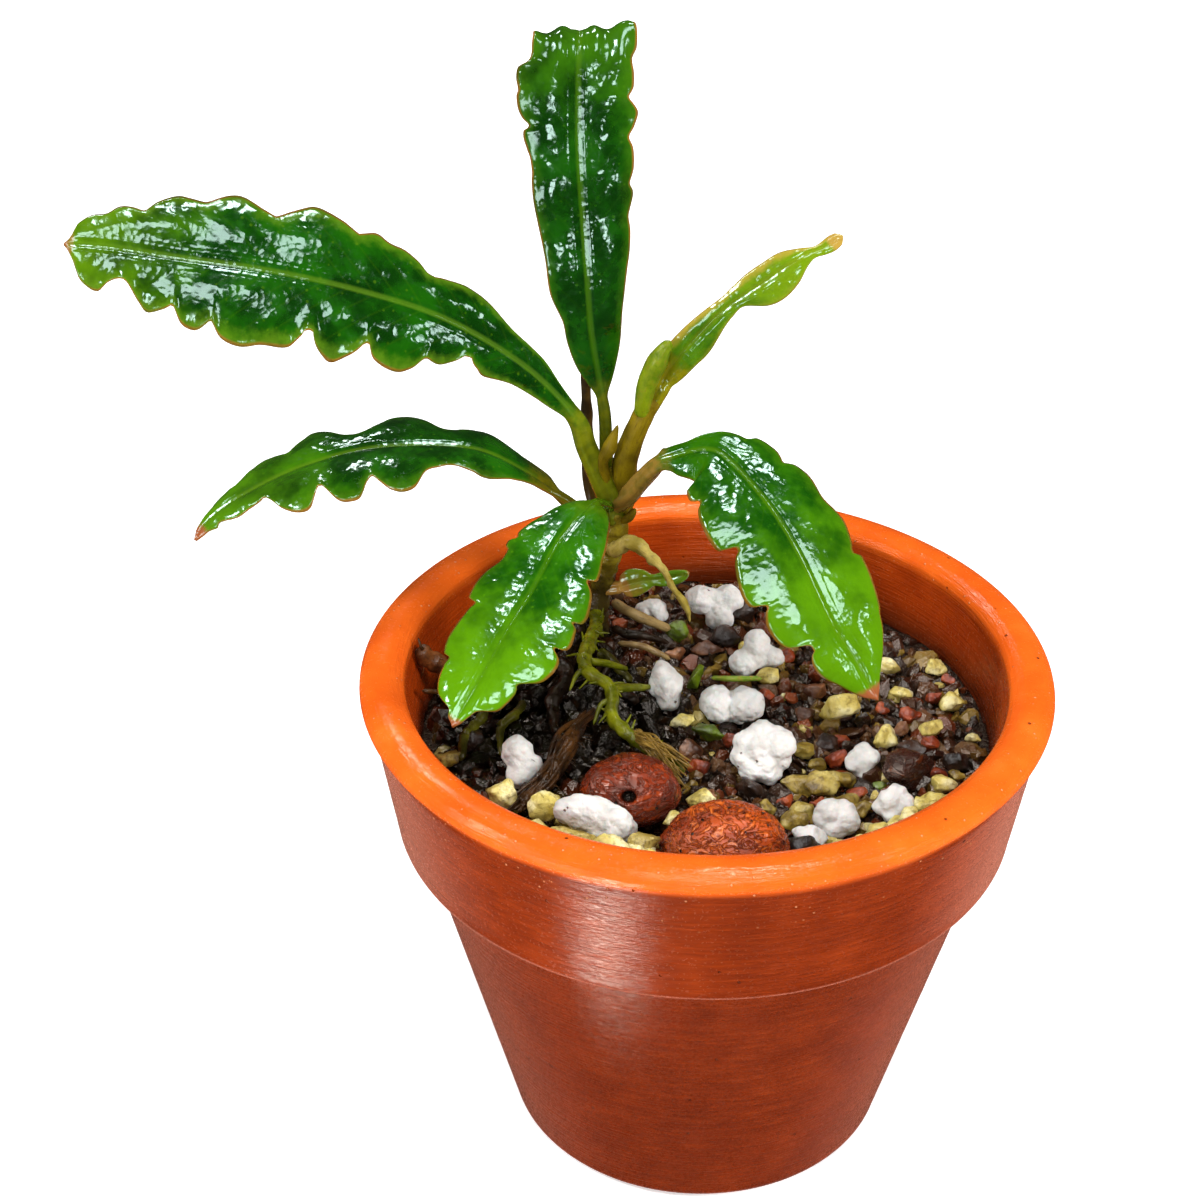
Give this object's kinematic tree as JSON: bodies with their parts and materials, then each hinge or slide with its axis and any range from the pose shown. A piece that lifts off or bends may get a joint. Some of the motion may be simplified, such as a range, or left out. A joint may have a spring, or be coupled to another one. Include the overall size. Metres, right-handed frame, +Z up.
{
  "type": "bucephalandra in a terracotta pot",
  "caption": "Small aquarium plant with frilled glossy leaves, rooted in wet grit with perlite and clay balls in a collared terracotta pot.",
  "frame": {"origin": "middle of the pot's flat base, on the surface that it stands on", "axes": "+Z up along the pot's axis; the longest leaf points to -X; the side the plant leans over, towards the viewer, is -Y"},
  "size_m": [0.0912, 0.066, 0.105],
  "materials": {
    "terracotta": "fired orange clay, turned, damp and slightly glossy at the lip",
    "wet_grit": "wet dark grit in brown, black, red and olive grains",
    "leaf_green": "wet deep green leaf with a paler midrib and a thin brown edge",
    "young_green": "wet yellow green young leaf",
    "stalk_olive": "olive stalk, damp",
    "stalk_brown": "dead brown stalk",
    "root_green": "mossy green root",
    "root_brown": "wet brown root",
    "fired_clay": "wrinkled red brown fired clay",
    "perlite_white": "white puffed perlite with small pits",
    "zeolite_cream": "cream to yellow broken stone"
  },
  "bodies": {
    "root": {"pot": "terracotta", "grit_bed": "wet_grit", "leaf_upright": "leaf_green", "leaf_long_left": "leaf_green", "leaf_low_left": "leaf_green", "leaf_front_left": "leaf_green", "leaf_right": "leaf_green", "leaf_young": "young_green", "rhizome": "stalk_olive", "sheath_young": "stalk_olive", "sheath_bud": "young_green", "sheath_small": "stalk_olive", "stalk_old": "stalk_brown", "bud_tiny": "stalk_olive", "stub_bent": "stalk_olive", "shoot_small": "young_green", "root_main": "root_green", "root_olive": "root_green", "root_green_1": "root_green", "root_green_2": "root_green", "twig_green": "root_green", "root_pale": "root_brown", "root_black": "root_brown", "root_thin": "root_brown", "root_brown": "root_brown", "root_stub_wall": "root_brown", "root_dark_1": "root_brown", "root_dark_2": "root_brown", "root_dark_3": "root_brown", "root_dark_4": "root_brown", "clay_ball_1": "fired_clay", "clay_ball_2": "fired_clay", "lump_dark": "fired_clay", "perlite_1": "perlite_white", "perlite_2": "perlite_white", "perlite_3": "perlite_white", "perlite_4": "perlite_white", "perlite_5": "perlite_white", "perlite_6": "perlite_white", "perlite_7": "perlite_white", "perlite_8": "perlite_white", "perlite_9": "perlite_white", "perlite_10": "perlite_white", "perlite_11": "perlite_white", "perlite_12": "perlite_white", "zeolite_1": "zeolite_cream", "zeolite_2": "zeolite_cream", "zeolite_3": "zeolite_cream", "zeolite_4": "zeolite_cream", "zeolite_5": "zeolite_cream", "zeolite_6": "zeolite_cream", "zeolite_7": "zeolite_cream", "zeolite_8": "zeolite_cream", "zeolite_9": "zeolite_cream", "zeolite_10": "zeolite_cream", "zeolite_11": "zeolite_cream", "leaf_bit_1": "leaf_green", "leaf_bit_2": "leaf_green"}
  },
  "joints": []
}
